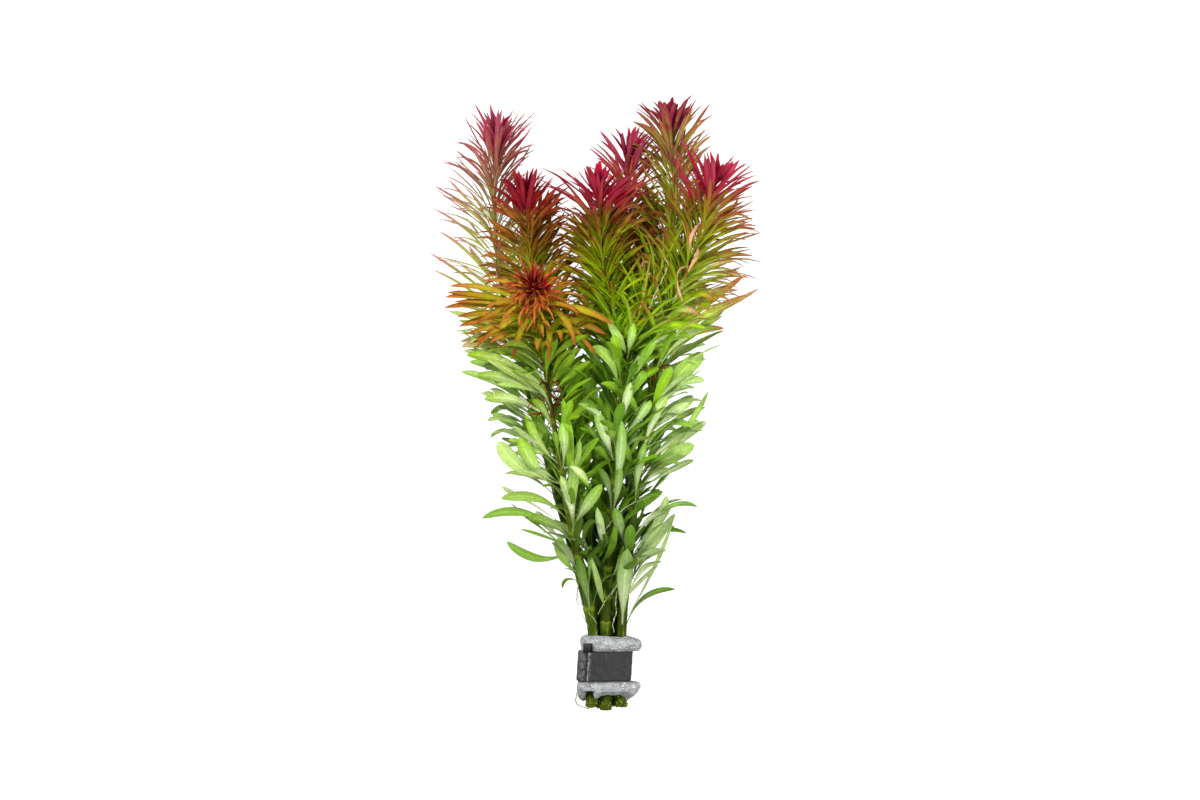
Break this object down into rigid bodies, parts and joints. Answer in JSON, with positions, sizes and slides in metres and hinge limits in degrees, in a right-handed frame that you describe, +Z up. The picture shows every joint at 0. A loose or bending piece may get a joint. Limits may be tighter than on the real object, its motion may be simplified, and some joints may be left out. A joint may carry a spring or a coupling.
{
  "type": "tied bunch of aquarium stem plant cuttings",
  "caption": "Cut bunch of leafy aquarium plant shoots lying on its back, red at the growing tips and green below, tied at the cut ends by a foam wrap and a lead strip.",
  "frame": {"origin": "middle of the bunch in plan, on the surface that it lies on", "axes": "+Y from the cut ends to the growing tips, +X to the right seen from above, +Z up from the surface"},
  "size_m": [0.1512, 0.2816, 0.0716],
  "materials": {
    "stem_and_leaf": "living plant tissue, green below and flushed orange to pink above, softly glossy",
    "crown_leaf": "young leaves, crimson to wine red, softly glossy",
    "broad_leaf": "broad green leaves with a pale underside and a fine midrib",
    "foam": "light grey open-cell foam, matt and pitted",
    "lead": "dull dark grey soft lead, creased and scuffed"
  },
  "bodies": {
    "root": {"crown_1": "crown_leaf", "crown_2": "crown_leaf", "crown_3": "crown_leaf", "crown_4": "crown_leaf", "crown_5": "crown_leaf", "crown_6": "crown_leaf", "crown_7": "crown_leaf", "foam_wrap": "foam", "lead_strip": "lead", "leaf_2_1": "broad_leaf", "leaf_2_2": "broad_leaf", "leaf_2_3": "broad_leaf", "leaf_2_4": "broad_leaf", "leaf_2_5": "broad_leaf", "leaf_2_6": "broad_leaf", "leaf_2_7": "broad_leaf", "leaf_2_8": "broad_leaf", "leaf_2_9": "broad_leaf", "leaf_2_10": "broad_leaf", "leaf_2_11": "broad_leaf", "leaf_2_12": "broad_leaf", "leaf_2_13": "broad_leaf", "leaf_4_1": "broad_leaf", "leaf_4_2": "broad_leaf", "leaf_4_3": "broad_leaf", "leaf_4_4": "broad_leaf", "leaf_6_1": "broad_leaf", "leaf_6_2": "broad_leaf", "leaf_6_3": "broad_leaf", "leaf_6_4": "broad_leaf", "leaf_6_5": "broad_leaf", "leaf_6_6": "broad_leaf", "leaf_6_7": "broad_leaf", "leaf_6_8": "broad_leaf", "leaf_6_9": "broad_leaf", "leaf_6_10": "broad_leaf", "leaf_6_11": "broad_leaf", "leaf_6_12": "broad_leaf", "leaf_7_1": "broad_leaf", "leaf_7_2": "broad_leaf", "leaf_7_3": "broad_leaf", "leaf_7_4": "broad_leaf", "leaf_7_5": "broad_leaf", "leaf_7_6": "broad_leaf", "leaf_7_7": "broad_leaf", "leaf_7_8": "broad_leaf", "leaf_7_9": "broad_leaf", "leaf_7_10": "broad_leaf", "leaf_7_11": "broad_leaf", "leaf_7_12": "broad_leaf", "stem_1": "stem_and_leaf", "stem_2": "stem_and_leaf", "stem_3": "stem_and_leaf", "stem_4": "stem_and_leaf", "stem_5": "stem_and_leaf", "stem_6": "stem_and_leaf", "stem_7": "stem_and_leaf"}
  },
  "joints": []
}
